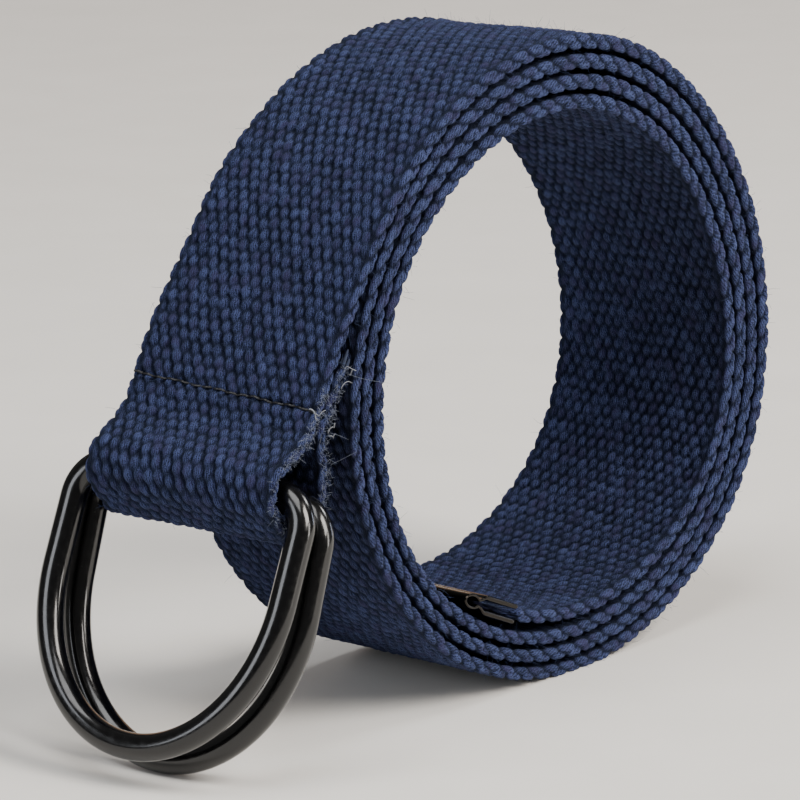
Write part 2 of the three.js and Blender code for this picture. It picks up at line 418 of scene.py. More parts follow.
        press = smooth(mouth_at - self.pressed_run, mouth_at - self.pressed_end, along)
        half = self.thickness / 2 + (self.pressed_half - self.thickness / 2) * press
        spoke = point - self.centre()
        angle = np.arctan2(spoke[:, 1], spoke[:, 0]) - np.radians(self.gap_sway_angle)
        wound = smooth(leave_at + self.wound_from, leave_at + self.wound_by, along)
        roll_gap = self.layer_gap + self.gap_sway * np.cos(angle)
        gap = self.fold_back_gap + wound * (roll_gap - self.fold_back_gap)
        return {
            "along": along, "point": point, "normal": normal, "yaw": yaw, "half": half, "gap": gap,
            "seam_at": np.array(seam_at), "leave_at": np.array(leave_at),
            "length": np.array(length[-1]),
        }


@dataclass(frozen=True)
class Weave:
    """Heavy plain weave: thick warp yarns along the belt, crossed by a weft pick every 2.11 mm.

    A sway row is the size of a slow wave and its two rates. A range pair is the least value and
    what scatter adds to it.
    """

    width: float = BELT_WIDTH
    warps: int = 36
    pick: float = 2.11
    pick_sway: tuple = ((0.18, 0.55, 0.05), (0.1, 1.7, 0.21))
    pick_stray: float = 0.16
    crimp: float = 0.3
    roundness: float = 0.55
    half_mean: float = 0.71
    half_swing: float = 0.29
    half_range: tuple = (0.86, 0.22)
    lean: float = 0.22
    lean_least: float = 0.4
    yarn_stray: float = 0.2
    yarn_sink: float = 0.16
    depth: float = 0.9
    edge_depth: float = 1.15
    edge_room: float = 0.22
    edge_knob: float = 0.58
    edge_top: float = 0.03
    edge_pitch: float = 4.34
    edge_sway: tuple = ((0.3, 0.9, 1), (0.3, 0.37, 2))
    knot_row: float = 0.74
    knot_slant: float = 0.9
    knot_range: tuple = (0.84, 0.22)
    knot_run: float = 0.45
    knot_turn: float = 0.92
    groove_depth: float = 0.4
    groove_run: float = 0.09

    def relief(self, along: np.ndarray, across: np.ndarray, face: Face) -> tuple:
        """Height of a woven face and the shade of the yarn on top.

        Each warp yarn rises and falls as a cosine of the length over one pick, turned over from
        one yarn to the next and from one face to the other. Its section is half an ellipse that
        is wide where the yarn is up. The surface is the highest of the nearest three yarns.

        Args:
            along: Lengths along the belt.
            across: Places across the belt, 0 in its middle.
            face: Which face.

        Returns:
            Heights, 0 at an even crest and negative below it, and shades from 0 to 1.
        """
        spacing = self.width / self.warps
        wave = sum(size * np.sin(across * a + along * b) for size, a, b in self.pick_sway)
        number = (across + self.width / 2) / spacing - 0.5
        height = np.full(np.broadcast(along, across).shape, -self.depth)
        shade = np.full(height.shape, 0.5)
        for step in (-1, 0, 1):
            yarn = np.clip(np.round(number) + step, 0, self.warps - 1)
            turn = (along + wave) / self.pick + yarn + (0.0 if face is Face.OUTER else 1.0)
            crest = np.round(turn / 2)
            first, second, third, fourth = (scatter(yarn, crest, k) for k in (1.0, 2.0, 3.0, 4.0))
            rise = np.cos(np.pi * (turn + self.pick_stray * (second - 0.5)))
            half = self.half_mean + self.half_swing * rise
            half = half * (self.half_range[0] + self.half_range[1] * third)
            lean = (turn - 2 * crest) * self.lean * (self.lean_least + fourth)
            stray = self.yarn_stray * (first - 0.5)
            centre = (yarn + 0.5) * spacing - self.width / 2 + stray + lean
            offset = (across - centre) / half
            dome = np.sqrt(np.clip(1.0 - offset**2, 0.0, None)) - 1.0
            here = self.crimp * (rise - 1.0) + self.roundness * dome - self.yarn_sink * second
            here = np.where(np.abs(offset) < 1.0, here, -self.depth)
            top = here > height
            height = np.where(top, here, height)
            shade = np.where(top, fourth, shade)
        return height, shade

    def edge(self, along: np.ndarray, turn: np.ndarray, side: float) -> tuple:
        """Height of the selvedge: two staggered rows of slanted knots, one towards each face.

        A knot is half an ellipsoid parted by a shallow groove, where the filling yarn goes out
        and comes back. The surface is the higher of the two rows.

        Args:
            along: Lengths along the belt.
            turn: Angle round the edge, a quarter turn at the outer face and minus that inside.
            side: 1 or -1, which edge.

        Returns:
            Heights, 0 at the highest knot, and shades from 0 to 1.
        """
        wander = sum(size * np.sin(along * a + b * side) for size, a, b in self.edge_sway)
        height = np.full(np.broadcast(along, turn).shape, -1.0)
        shade = np.full(height.shape, 0.5)
        for row, centre in enumerate((self.knot_row, -self.knot_row)):
            slant = self.knot_slant * (turn - centre)
            phase = along / self.edge_pitch + (wander + slant) / (2 * np.pi) + row / 2
            knot = np.round(phase)
            local = phase - knot
            size = self.knot_range[0] + self.knot_range[1] * scatter(knot, row, 7.0 + side)
            reach = (local / self.knot_run) ** 2 + ((turn - centre) / self.knot_turn) ** 2
            groove = 1.0 - self.groove_depth * np.exp(-((local / self.groove_run) ** 2))
            lump = np.sqrt(np.clip(1.0 - reach, 0.0, None)) * groove
            here = self.edge_knob * (lump * size - 1.0)
            top = here > height
            height = np.where(top, here, height)
            shade = np.where(top, scatter(knot, row, 9.0 + side), shade)
        return np.clip(height, -self.edge_knob, self.edge_top), shade


@dataclass(frozen=True)
class RunSpec:
    """One run of the webbing: where it starts and stops and how finely each face is drawn."""

    name: str
    start: float
    stop: float
    step: float
    outer_columns: int
    inner_columns: int


@dataclass
class Webbing:
    """The whole belt webbing, in runs that share their end sections.

    A pair is where an effect starts and where it is full. A wander row is a size, a rate and a
    start. The runs' marks are lengths from the point where the hanging end leaves the roll, and
    for the inner turn from the inner end.
    """

    path: StrapPath
    weave: Weave
    edge_columns: int = 13
    edge_blend: float = 2.3
    edge_girth: float = 0.12
    bulge_zone: tuple = (3.2, 1.2)
    bulge_least: float = 0.04
    seam_width: float = 0.42
    seam_depth: float = 0.6
    stitch_lift: float = 2.0
    stitch_slant: float = 0.8
    pivot_x: float = BACK_BAR[0]
    tip_inset: float = 0.15
    tip_squeeze: tuple = (0.45, 1.0)
    wander: tuple = ((0.1, 0.11, 0.0), (0.06, 0.043, 1.0))
    top_sag: float = 1.3
    sag_heights: tuple = (64.0, 108.0)
    sag_across: tuple = (-14.0, 19.0)
    far_lean: float = 1.3
    lean_heights: tuple = (56.0, 72.0)
    lean_ends: tuple = (92.0, 110.0)
    lean_across: tuple = (-12.0, 19.0)
    lean_run: tuple = (-60.0, -20.0)
    floor_room: float = 0.03
    cap_relief: float = -0.5
    outer_mark: float = 239.0
    back_mark: float = 366.0
    inner_mark: float = 306.0
    line: dict[str, np.ndarray] = field(init=False, repr=False)

    def __post_init__(self) -> None:
        """Sample the path once for every run."""
        self.line = self.path.sample()

    def place(self, along: np.ndarray, across: np.ndarray, offset: np.ndarray) -> np.ndarray:
        """Points of the belt: a place on the mid-line, moved out along its normal and turned.

        Args:
            along: Lengths along the belt.
            across: Places across the belt.
            offset: Distances from the mid-line, positive towards the outer face.

        Returns:
            Points of the three arrays' common shape, by 3.
        """
        along, across, offset = np.broadcast_arrays(along, across, offset)
        point, normal = (points_at(along, self.line["along"], self.line[key])
                         for key in ("point", "normal"))
        yaw = np.interp(along, self.line["along"], self.line["yaw"])
        x = point[..., 0] + normal[..., 0] * offset - self.pivot_x
        z = point[..., 1] + normal[..., 1] * offset
        x, y = x * np.cos(yaw) - across * np.sin(yaw), x * np.sin(yaw) + across * np.cos(yaw)
        x = x + self.pivot_x
        height = np.maximum(z - self.sag(y, z), self.floor_room)
        return np.stack([x - self.lean(x, y, z), y, height], axis=-1)

    def sag(self, y: np.ndarray, z: np.ndarray) -> np.ndarray:
        """Drop of the roll's top towards the far edge, where the turns have settled."""
        return self.top_sag * smooth(*self.sag_heights, z) * smooth(*self.sag_across, y)

    def lean(self, x: np.ndarray, y: np.ndarray, z: np.ndarray) -> np.ndarray:
        """Spread of the turns under the hanging end towards the far edge."""
        height = smooth(*self.lean_heights, z) * (1 - smooth(*self.lean_ends, z))
        across = smooth(*self.lean_across, y)
        return self.far_lean * height * across * (1 - smooth(*self.lean_run, x))

    def half_at(self, along: np.ndarray) -> np.ndarray:
        """Half thickness of the webbing at the given lengths."""
        return np.interp(along, self.line["along"], self.line["half"])

    def section(self, spec: RunSpec) -> tuple:
        """Base section of a run: outer face, far edge, inner face and near edge, going round.

        Args:
            spec: The run.

        Returns:
            Place across, share of the half thickness, outward direction across the belt, angle
            round the edge and side number, each one value a column.
        """
        flat = self.path.width / 2 - self.weave.edge_depth
        outer = np.linspace(-flat, flat, spec.outer_columns)
        inner = np.linspace(flat, -flat, spec.inner_columns)
        turn = np.radians(np.linspace(90, -90, self.edge_columns + 2)[1:-1])
        rim = self.weave.edge_depth
        across = [outer, flat + rim * np.cos(turn), inner, -flat - rim * np.cos(turn[::-1])]
        through = [np.ones_like(outer), np.sin(turn), -np.ones_like(inner), np.sin(turn[::-1])]
        out_y = [0 * outer, np.cos(turn), 0 * inner, -np.cos(turn[::-1])]
        angle = [0 * outer + np.pi / 2, turn, 0 * inner - np.pi / 2, turn[::-1]]
        side = [np.sign(outer), np.ones_like(turn), np.sign(inner), -np.ones_like(turn)]
        return tuple(np.concatenate(part) for part in (across, through, out_y, angle, side))

    def stitch_at(self, across: np.ndarray) -> tuple[np.ndarray, np.ndarray]:
        """Length of the seam on the front layer and on the fold-back, a little aslant."""
        lift = self.stitch_lift + self.stitch_slant * across / (self.path.width / 2)
        return float(self.line["seam_at"]) + lift, self.path.fold_back_length - lift

    def seam_dip(self, along: np.ndarray, across: np.ndarray) -> np.ndarray:
        """Depth that the stitching draws both layers in: a bell round each line of the seam.

        Args:
            along: Lengths along the belt.
            across: Places across the belt.

        Returns:
            Depths of the arrays' common shape.
        """
        front, back = self.stitch_at(across)
        bell = np.exp(-(((along - front) / self.seam_width) ** 2))
        return self.seam_depth * (bell + np.exp(-(((along - back) / self.seam_width) ** 2)))

    def bulge(self, along: np.ndarray, across: np.ndarray) -> np.ndarray:
        """Extra half thickness of the selvedge: half of the gap to the next layer, less a room.

        Args:
            along: Lengths along the belt.
            across: Places across the belt.

        Returns:
            Extra halves of the arrays' common shape.
        """
        start, full = (self.path.width / 2 - inset for inset in self.bulge_zone)
        gap = np.interp(along, self.line["along"], self.line["gap"])
        extra = np.clip(gap - self.weave.edge_room, self.bulge_least, None) / 2
        return extra * smooth(start, full, np.abs(across))

    def surface(self, along: np.ndarray, spec: RunSpec) -> tuple:
        """Points of a run: the section, raised by the weave, carried along the mid-line.

        Args:
            along: Length of each row.
            spec: The run.

        Returns:
            Points, heights below the crests, and yarn shades, each on the grid of rows by columns.
        """
        across, through, out_y, angle, side = self.section(spec)
        rows = along[:, None]
        outer, outer_shade = self.weave.relief(rows, across[None, :], Face.OUTER)
        inner, inner_shade = self.weave.relief(rows, across[None, :], Face.INNER)
        is_outer = (through > 0)[None, :]
        woven = np.where(is_outer, outer, inner)
        shade = np.where(is_outer, outer_shade, inner_shade)
        far, far_shade = self.weave.edge(rows, angle[None, :], 1.0)
        near, near_shade = self.weave.edge(rows, angle[None, :], -1.0)
        is_far = (side > 0)[None, :]
        rim = self.path.width / 2
        flat = rim - self.weave.edge_depth
        share = smooth(rim - self.edge_blend, flat, np.abs(across))[None, :]
        height = woven * (1 - share) + np.where(is_far, far, near) * share
        shade = shade * (1 - share) + np.where(is_far, far_shade, near_shade) * share
        half = self.half_at(rows)
        squeeze = half / (self.path.thickness / 2)
        bulge = self.bulge(rows, across[None, :])
        pressed = 1 - smooth(*self.tip_squeeze, squeeze)
        rise = np.sign(through)[None, :] * np.sqrt(np.clip(1 - out_y**2, 0, None))[None, :]
        full = half - self.seam_dip(rows, across[None, :]) + bulge * squeeze
        offset = through[None, :] * full + rise * height * squeeze
        place = across[None, :] + out_y[None, :] * height
        place = place * (1 - self.tip_inset * pressed)
        for size, rate, start in self.wander:
            place = place + size * np.sin(rows * rate + start)
        return self.place(rows, place, offset), height, shade

    def build(self, spec: RunSpec) -> bpy.types.Object:
        """Mesh of one run, closed at both ends by a fan to the middle of its end section.

        Args:
            spec: The run.

        Returns:
            The run's object, with its relief, its yarn shades and a UV map in millimetres.
        """
        count = max(4, int(np.ceil((spec.stop - spec.start) / spec.step)))
        along = np.linspace(spec.start, spec.stop, count + 1)
        points, height, shade = self.surface(along, spec)
        rows, columns = height.shape
        whole, faces = closed_skin(points, backwards=True)
        relief = np.concatenate([height.ravel(), [self.cap_relief] * 2])
        tint = np.concatenate([shade.ravel(), [0.5, 0.5]])
        steps = np.abs(np.diff(self.section(spec)[0])) + self.edge_girth
        girth = np.concatenate([[0.0], np.cumsum(steps)])
        row_of = np.concatenate([np.repeat(along, columns), [spec.start, spec.stop]])
        column_of = np.concatenate([np.tile(girth, rows), [0.0, 0.0]])
        uv = np.stack([column_of[faces], row_of[faces]], axis=-1).reshape(-1, 2)
        item = make_mesh(spec.name, whole, faces, {"relief": relief, "tint": tint}, uv)
        edges = np.empty(len(item.data.edges) * 2, dtype=np.int32)
        item.data.edges.foreach_get("vertices", edges)
        edges = edges.reshape(-1, 2)
        last = (edges >= (rows - 1) * columns) & (edges < rows * columns)
        sharp = np.all(edges < columns, axis=1) | np.all(last, axis=1)
        layer = item.data.attributes.new("sharp_edge", "BOOLEAN", "EDGE")
        layer.data.foreach_set("value", sharp)
        return item

    def dress(self, item: bpy.types.Object, spec: RunSpec, cotton: bpy.types.Material) -> None:
        """Give a run its cotton and the body it moves with."""
        finish(item, cotton, "strap")

    def specs(self) -> list[RunSpec]:
        """The runs: loop, outer turn in two parts, hidden middle turns and inner turn."""
        seam = float(self.line["seam_at"]) + self.stitch_lift
        leave = float(self.line["leave_at"])
        end = float(self.line["length"])
        outer, back = leave + self.outer_mark, leave + self.back_mark
        inner = end - self.inner_mark
        return [
            RunSpec("webbing_loop", 0.0, seam, 0.38, 100, 64),
            RunSpec("webbing_outer_turn", seam, outer, 0.4, 100, 8),
            RunSpec("webbing_outer_back", outer, back, 0.45, 84, 8),
            RunSpec("webbing_middle_turns", back, inner, 0.48, 8, 8),
            RunSpec("webbing_inner_turn", inner, end, 0.44, 8, 92),
        ]


# Rings


@dataclass(frozen=True)
class WireRing:
    """D-shaped ring of round wire: straight bar, rounded corners, short legs, half-oval bow.

    Angles are degrees. The bar is its middle's X and Z, the swing its angle at rest, and the
    reach the joint's range.
    """

    name: str
    node: str
    body: str
    bar: tuple
    swing: float
    reach: tuple
    yaw: float = HANG_YAW
    wire: float = 4.6
    half_width: float = 22.7
    corner: float = 6.5
    leg: float = 17.7
    bow: float = 27.2
    stations: int = 260
    sides: int = 36
    swing_step: float = 3.0

    def outline(self) -> np.ndarray:
        """Closed centre line, evenly spaced: bar, corner arcs, legs and half an ellipse."""
        flat = self.half_width - self.corner
        arc = np.radians(np.linspace(90, 0, 40))
        bow = np.radians(np.linspace(0, -180, 400))
        right = np.stack([flat + self.corner * np.cos(arc), self.corner * (np.sin(arc) - 1)], -1)
        base = np.stack([self.half_width * np.cos(bow), self.bow * np.sin(bow) - self.leg], -1)
        left = right[::-1] * np.array([-1.0, 1.0])
        line = np.concatenate([right, base, left, right[:1]])
        length = run_lengths(line)
        even = np.linspace(0, length[-1], self.stations, endpoint=False)
        return points_at(even, length, line)

    def hang(self, local: np.ndarray, turn: float) -> np.ndarray:
        """Local ring points hung on the bar: swung about it, then yawed with the loop.

        Args:
            local: Points beside the bar's middle, one row each.
            turn: Degrees from the ring's place at rest.

        Returns:
            Points in the object's frame.
        """
        swing, yaw = np.radians(self.swing + turn), np.radians(self.yaw)
        tilt = np.array([
            [np.cos(swing), 0, np.sin(swing)], [0, 1, 0], [-np.sin(swing), 0, np.cos(swing)],
        ])
        head = np.array([[np.cos(yaw), -np.sin(yaw), 0], [np.sin(yaw), np.cos(yaw), 0], [0, 0, 1]])
        return local @ (head @ tilt).T + np.array([self.bar[0], 0.0, self.bar[1]])

    def clear_of(self, points: np.ndarray, margin: float) -> np.ndarray:
        """Which points stay a margin away from the wire over the ring's whole swing.

        Args:
            points: Points, one row each.
            margin: Least distance from the wire's surface.

        Returns:
            True for each point that no position of the ring comes near.
        """
        line = self.outline()[::2]
        local = np.concatenate([np.zeros((len(line), 1)), line], axis=-1)
        turns = np.linspace(*self.reach, 1 + int(np.ptp(self.reach) / self.swing_step))
        nearest = np.full(len(points), np.inf)
        square = np.sum(points**2, axis=-1)[:, None]
        for turn in turns:
            wire = self.hang(local, float(turn))
            far = square + np.sum(wire**2, axis=-1)[None] - 2 * points @ wire.T
            nearest = np.minimum(nearest, far.min(axis=1))
        return nearest > (self.wire / 2 + margin) ** 2

    def build(self) -> bpy.types.Object:
        """Ring surface: centre line plus a circle in the plane of its normal and the ring's own."""
        line = self.outline()
        normal = left_of(np.roll(line, -1, axis=0) - np.roll(line, 1, axis=0))
        turn = np.linspace(0, 2 * np.pi, self.sides, endpoint=False)
        radius = self.wire / 2
        flat = line[:, None, :] + radius * np.cos(turn)[None, :, None] * normal[:, None, :]
        proud = np.broadcast_to(radius * np.sin(turn)[None, :], flat.shape[:2])
        local = np.stack([proud, flat[..., 0], flat[..., 1]], axis=-1).reshape(-1, 3)
        points = self.hang(local, 0.0)
        rows = np.arange(self.stations)[:, None]
        here = np.arange(self.sides)[None, :]
        after = (here + 1) % self.sides
        ahead = (rows + 1) % self.stations
        corners = (
            rows * self.sides + here, ahead * self.sides + here,
            ahead * self.sides + after, rows * self.sides + after,
        )
        return make_mesh(self.name, points, np.stack(corners, axis=-1).reshape(-1, 4))

    def dress(self, item: bpy.types.Object, enamel: bpy.types.Material) -> None:
        """Give the ring its enamel and its body, and hide the CAD node that it stands for."""
        finish(item, enamel, self.body)
        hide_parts(self.node)


# Trims


@dataclass(frozen=True)
class Fibres:
    """One kind of loose fibre: name, shortest and longest reach, radius, and how far it stands."""

    name: str
    reach: tuple
    radius: float
    stand: float = 0.7


@dataclass
class Trims:
    """Small threads and fibres on the webbing: seam, frayed end and lint.

    They sit on the webbing, and no fibre touches a ring over its whole swing. A hook row is the
    root and the end of a thread's tail, each as length along the belt, place across it and
    distance from the mid-line, and then the tail's radius. The lengths count from the seam's
    front stitch, from its back stitch and from the raw end. A slack row is a size and a rate.
    """

    webbing: Webbing
    rings: tuple[WireRing, ...]
    seed: int = 11
    seam_half: float = 18.5
    stitch: float = 2.4
    thread_radius: float = 0.2
    thread_sink: float = 0.42
    thread_rise: float = 0.5
    thread_points: int = 420
    thread_slack: tuple = ((0.12, 0.8), (0.06, 2.9))
    ply_depth: float = 0.14
    ply_length: float = 0.7
    front_hooks: tuple = (
        (-0.1, -17.7, 1.35, -1.3, -19.6, 0.75, 0.14), (-0.9, -18.6, 1.15, 0.3, -19.8, 0.05, 0.1),
    )
    back_hooks: tuple = (
        (1.9, -18.9, 0.9, 0.1, -20.0, 0.5, 0.14), (2.9, -19.2, 0.9, 2.1, -20.0, 1.4, 0.1),
    )
    raw_hooks: tuple = (
        (1.2, -19.0, 0.9, -0.6, -20.0, 1.2, 0.11), (0.4, -18.8, -0.6, -1.9, -19.8, 0.9, 0.09),
        (3.4, -19.1, 0.2, 1.7, -19.9, 1.5, 0.09),
    )
    hook_at: float = -19.0
    hook_points: int = 16
    hook_sway: tuple = (0.35, 0.3)
    hook_turn: float = 1.3
    hook_taper: float = 0.3
    yarn_root: float = 0.35
    yarn_row: float = 0.55
    yarn_reach: tuple = (1.4, 3.4)
    yarn_splay: float = 0.2
    yarn_radii: tuple = (0.36, 0.4, 0.34, 0.26, 0.1)
    fibre_curl: tuple = (0.55, 0.6)
    fibre_taper: tuple = (1.0, 1.0, 0.95, 0.8, 0.5)
    fibre_out: tuple = (1.06, 1.6)
    fibre_floor: float = 0.05
    ring_room: float = 0.25
    ring_zone: tuple = (-20.0, 100.0)
    face_half: float = 18.5
    near_edge: float = -18.75
    chance: np.random.Generator = field(init=False, repr=False)

    def __post_init__(self) -> None:
        """Start the one row of random draws that the trims share."""
        self.chance = np.random.default_rng(self.seed)

    def seam_thread(self) -> bpy.types.Object:
        """Lock-stitched thread on both outer sides of the seam, dipping at each needle hole."""
        across = np.linspace(-self.seam_half, self.seam_half, self.thread_points)
        dip = np.abs(np.sin(np.pi * across / self.stitch)) ** 0.5
        bottom = self.webbing.path.thickness / 2 - self.webbing.seam_depth
        height = bottom - self.thread_sink + self.thread_rise * dip
        slack = sum(size * np.sin(across * rate) for size, rate in self.thread_slack)
        lines = self.webbing.stitch_at(across)
        paths = np.stack([self.webbing.place(line + slack, across, height) for line in lines])
        ply = 1 + self.ply_depth * np.sin(across * 2 * np.pi / self.ply_length)
        radii = np.stack([self.thread_radius * ply] * 2)
        points, faces = tubes(paths, radii, 8)
        return make_mesh("seam_thread", points, faces)

    def thread_ends(self) -> bpy.types.Object:
        """Stiff thread tails that hook round the near ends of the seam and the raw end.

        Each runs straight from root to end, with one turn of a circle added on the way.
        """
        front, back = (float(value) for value in self.webbing.stitch_at(np.array(self.hook_at)))
        groups = ((front, self.front_hooks), (back, self.back_hooks), (0.0, self.raw_hooks))
        shift = np.array([1.0, 0.0, 0.0, 1.0, 0.0, 0.0, 0.0])
        table = np.concatenate([np.array(rows) + base * shift for base, rows in groups])
        root, end, radius = table[:, None, 0:3], table[:, None, 3:6], table[:, 6:]
        share = np.linspace(0, 1, self.hook_points)[None, :]
        turn = 2 * np.pi * share + np.arange(len(table))[:, None] * self.hook_turn
        line = root * (1 - share[..., None]) + end * share[..., None]
        along = line[..., 0] + self.hook_sway[0] * np.sin(turn)
        offset = line[..., 2] + self.hook_sway[1] * np.cos(turn)
        paths = self.webbing.place(along, line[..., 1], offset)
        radii = radius * (1 - self.hook_taper * share)
        points, faces = tubes(paths, radii, 6)
        return make_mesh("thread_ends", points, faces)

    def frayed_end(self) -> bpy.types.Object:
        """Cut yarn ends that stand out of the raw end in two rows and splay a little."""
        weave = self.webbing.weave
        yarn = np.arange(weave.warps * 2)
        across = (yarn % weave.warps + 0.5) * weave.width / weave.warps - weave.width / 2
        row = np.where(yarn < weave.warps, self.yarn_row, -self.yarn_row)
        base = self.webbing.place(np.full(len(yarn), self.yarn_root), across, row)
        ahead = self.webbing.place(np.zeros(1), np.zeros(1), np.zeros(1))
        ahead = ahead - self.webbing.place(np.ones(1), np.zeros(1), np.zeros(1))
        share = np.linspace(0, 1, len(self.yarn_radii))[None, :, None]
        reach = self.chance.uniform(*self.yarn_reach, (len(yarn), 1, 1))
        splay = self.chance.normal(0.0, self.yarn_splay, (len(yarn), 1, 3))
        paths = base[:, None] + reach * (share * ahead[None] + share**2 * splay)
        radii = np.array(self.yarn_radii)[None] * np.ones((len(yarn), 1))
        points, faces = tubes(paths, radii, 6)
        return make_mesh("frayed_raw_end", points, faces)

    def lint(
        self, kind: Fibres, along: np.ndarray, across: np.ndarray, offset: np.ndarray
    ) -> bpy.types.Object:
        """Short curved fibres that stand off the webbing, but for those that a ring would touch.

        A fibre is its reach times the sum of a first direction by the share run along it and a
        second one by that share's square.

        Args:
            kind: The kind of fibre.
            along: Root lengths along the belt.
            across: Root places across the belt.
            offset: Root distances from the mid-line.

        Returns:
            All the fibres as one object.
        """
        root = self.webbing.place(along, across, offset)
        count = len(along)
        wide, proud = self.fibre_out
        out = unit(self.webbing.place(along, across * wide, offset * proud) - root)
        first = out * kind.stand + self.chance.normal(0, self.fibre_curl[0], (count, 3))
        second = self.chance.normal(0, self.fibre_curl[1], (count, 3))
        length = self.chance.uniform(*kind.reach, (count, 1, 1))
        share = np.linspace(0, 1, len(self.fibre_taper))[None, :, None]
        paths = root[:, None] + length * (share * first[:, None] + share**2 * second[:, None])
        paths[..., 2] = np.maximum(paths[..., 2], self.fibre_floor)
        for ring in self.rings:
            near = (paths[:, 0, 0] < self.ring_zone[0]) & (paths[:, 0, 2] < self.ring_zone[1])
            clear = ring.clear_of(paths[near].reshape(-1, 3), self.ring_room)
            keep = np.ones(len(paths), dtype=bool)
            keep[near] = clear.reshape(-1, paths.shape[1]).all(axis=1)
            paths = paths[keep]
        radii = kind.radius * np.array([self.fibre_taper]) * np.ones((len(paths), 1))
        points, faces = tubes(paths, radii, 3)
        return make_mesh(kind.name, points, faces)

    def blue_lint(self) -> bpy.types.Object:
        """Fibres of the webbing's own colour over the whole belt, most of them at the edges."""
        count, on_face, near_share, edge, rise = 3600, 1300, 0.7, 18.9, 1.2
        tip_room, past_leave = 10.0, 250.0
        end = float(self.webbing.line["length"]) - tip_room
        face_end = float(self.webbing.line["leave_at"]) + past_leave
        face = np.arange(count) < on_face
        along = self.chance.uniform(0.0, end, count)
        along = np.where(face, self.chance.uniform(0.0, face_end, count), along)
        side = np.where(self.chance.uniform(size=count) < near_share, -edge, edge)
        half = self.face_half
        across = np.where(face, self.chance.uniform(-half, half, count), side)
        offset = np.where(face, rise, self.chance.uniform(-rise, rise, count))
        return self.lint(Fibres("cotton_lint", (0.3, 1.1), 0.022), along, across, offset)

    def pale_lint(self) -> bpy.types.Object:
        """Pale broken fibres that hug the near edge of the loop and of the fold-back."""
        count, past_seam, low, high = 1000, 5.0, -1.1, 1.2
        end = float(self.webbing.line["seam_at"]) + past_seam
        along = self.chance.uniform(0.0, end, count)
        offset = self.chance.uniform(low, high, count)
        across = np.full(count, self.near_edge)
        return self.lint(Fibres("pale_fibres", (0.2, 0.7), 0.036, 0.4), along, across, offset)

    def wisps(self) -> bpy.types.Object:
        """A few long loose fibres by the raw end and on the fold-back."""
        back = self.webbing.path.fold_back_length
        roots = np.array([
            (back + 7.0, -19.0, 0.9), (back + 1.0, -19.0, 0.9), (0.8, -19.0, 0.9),
            (0.2, -17.5, 0.7), (0.5, -10.0, -0.8),
        ])
        return self.lint(Fibres("loose_wisps", (2.2, 3.4), 0.035), *roots.T)

    def dress(self, item: bpy.types.Object, material: bpy.types.Material) -> None:
        """Give a trim its finish and let it move with the webbing."""
        finish(item, material, "strap")


# Finishes


def linear(colour: str) -> tuple[float, float, float, float]:
    """Linear colour with full alpha, by the sRGB curve: a line below 0.04045, a power above.

    Args:
        colour: sRGB hex value such as 2d3850.

    Returns:
        Red, green, blue and alpha.
    """
    levels = np.array([int(colour[k:k + 2], 16) for k in (0, 2, 4)]) / 255.0
    low = levels / 12.92
    high = ((levels + 0.055) / 1.055) ** 2.4
    red, green, blue = (float(v) for v in np.where(levels <= 0.04045, low, high))
    return red, green, blue, 1.0


def add_node(
    tree: bpy.types.NodeTree, kind: str, settings: dict | None = None, **links: object
) -> bpy.types.Node:
    """Add a shader node, set its properties, and fill or link its inputs.

    Args:
        tree: Node tree to add to.
        kind: Node type name after its common start.
        settings: Node properties by name.
        **links: Inputs by name, underscores for spaces, or by number as n0, n1 and so on: a
            value, an output socket, or a node for its first output.

    Returns:
        The new node.
    """
    node = tree.nodes.new("ShaderNode" + kind)
    for key, value in (settings or {}).items():
        setattr(node, key, value)
    for key, value in links.items():
        place = int(key[1:]) if key[0] == "n" and key[1:].isdigit() else key.replace("_", " ")
        source = value.outputs[0] if isinstance(value, bpy.types.Node) else value
        if isinstance(source, bpy.types.NodeSocket):
            tree.links.new(source, node.inputs[place])
        else:
            node.inputs[place].default_value = source
    return node


def new_material(name: str) -> tuple[bpy.types.Material, bpy.types.NodeTree]:
    """Material without nodes, and its tree."""
    material = bpy.data.materials.new(name)
    material.use_nodes = True
    material.node_tree.nodes.clear()
    return material, material.node_tree


